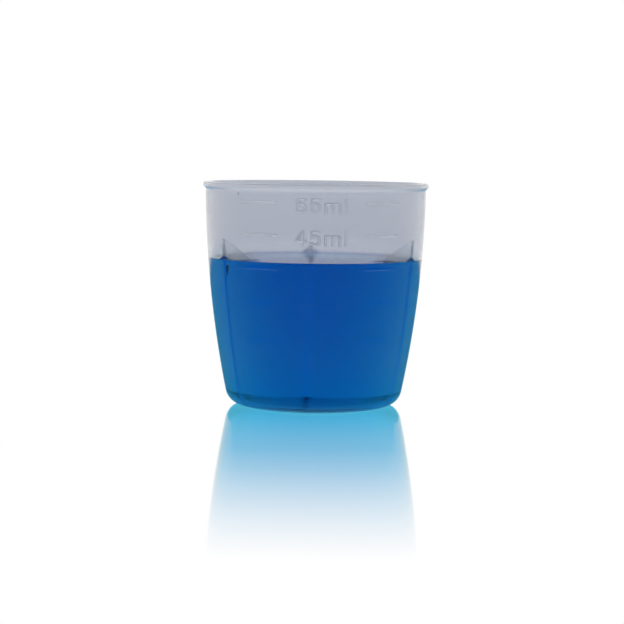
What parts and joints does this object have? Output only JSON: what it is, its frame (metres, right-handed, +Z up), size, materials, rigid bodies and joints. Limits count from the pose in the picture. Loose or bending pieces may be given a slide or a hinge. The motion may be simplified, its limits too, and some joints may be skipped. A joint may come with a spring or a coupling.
{
  "type": "dosing cup",
  "caption": "Round tapered translucent cup with a small lip, thin inner ribs and raised millilitre lines, for measuring out a dose of liquid, shown part filled with blue liquid.",
  "frame": {"origin": "middle of the foot ring, in the plane that the cup stands on", "axes": "+Z up the cup's axis to the rim, -Y towards the millilitre lines, +Y towards one of the three inner ribs"},
  "size_m": [0.0476, 0.0476, 0.047],
  "materials": {
    "milky_plastic": "natural polypropylene, slightly milky, moulded gloss",
    "blue_liquid": "clear deep blue liquid"
  },
  "bodies": {
    "root": {"cup": "milky_plastic", "blue_liquid": "blue_liquid"}
  },
  "joints": []
}
